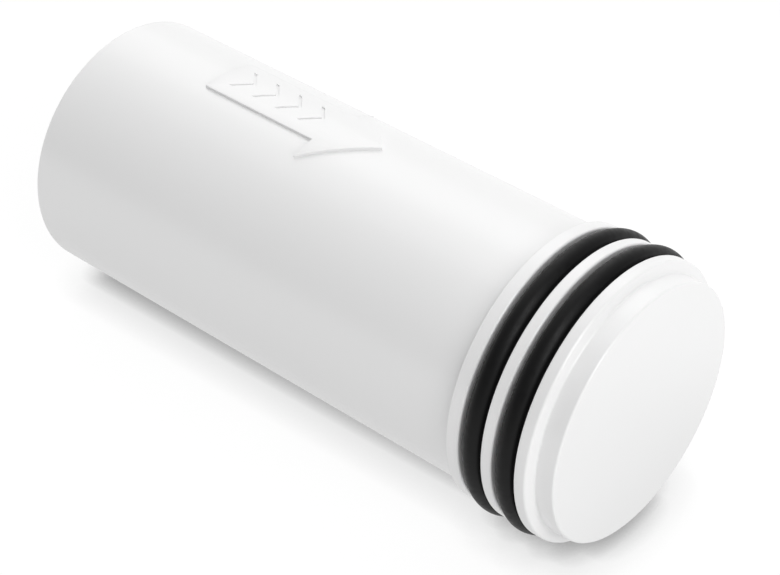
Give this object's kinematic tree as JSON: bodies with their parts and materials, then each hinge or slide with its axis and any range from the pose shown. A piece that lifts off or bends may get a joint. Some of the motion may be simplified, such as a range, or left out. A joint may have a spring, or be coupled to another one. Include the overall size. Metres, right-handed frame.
{
  "type": "water filter cartridge",
  "caption": "Cylindrical drop-in water filter cartridge with a closed end sealed by O-rings in a grooved collar, and an outlet socket and inlet ports in its plain end.",
  "frame": {"origin": "centre of the foot, on the face that the cartridge stands on", "axes": "+Z along the cartridge's axis, from the plain end with the ports to the closed end with the O-rings; X and Y are alike"},
  "size_m": [0.0544, 0.0544, 0.123],
  "materials": {
    "shell": "satin",
    "seal_rubber": "satin",
    "inner_plastic": "satin",
    "net_plastic": "satin",
    "filter_fleece": "matte",
    "pressed_carbon": "matte"
  },
  "bodies": {
    "root": {"housing": "shell", "end_cap": "shell", "rear_o_ring": "seal_rubber", "front_o_ring": "seal_rubber", "inlet_screen": "filter_fleece", "outlet_o_ring": "seal_rubber", "seal_spacer": "inner_plastic", "lower_block_cap": "inner_plastic", "block_o_ring": "seal_rubber", "core_tube": "inner_plastic", "core_fleece": "filter_fleece", "carbon_block": "pressed_carbon", "prefilter_wrap": "filter_fleece", "outer_net": "net_plastic", "upper_block_cap": "inner_plastic"}
  },
  "joints": []
}
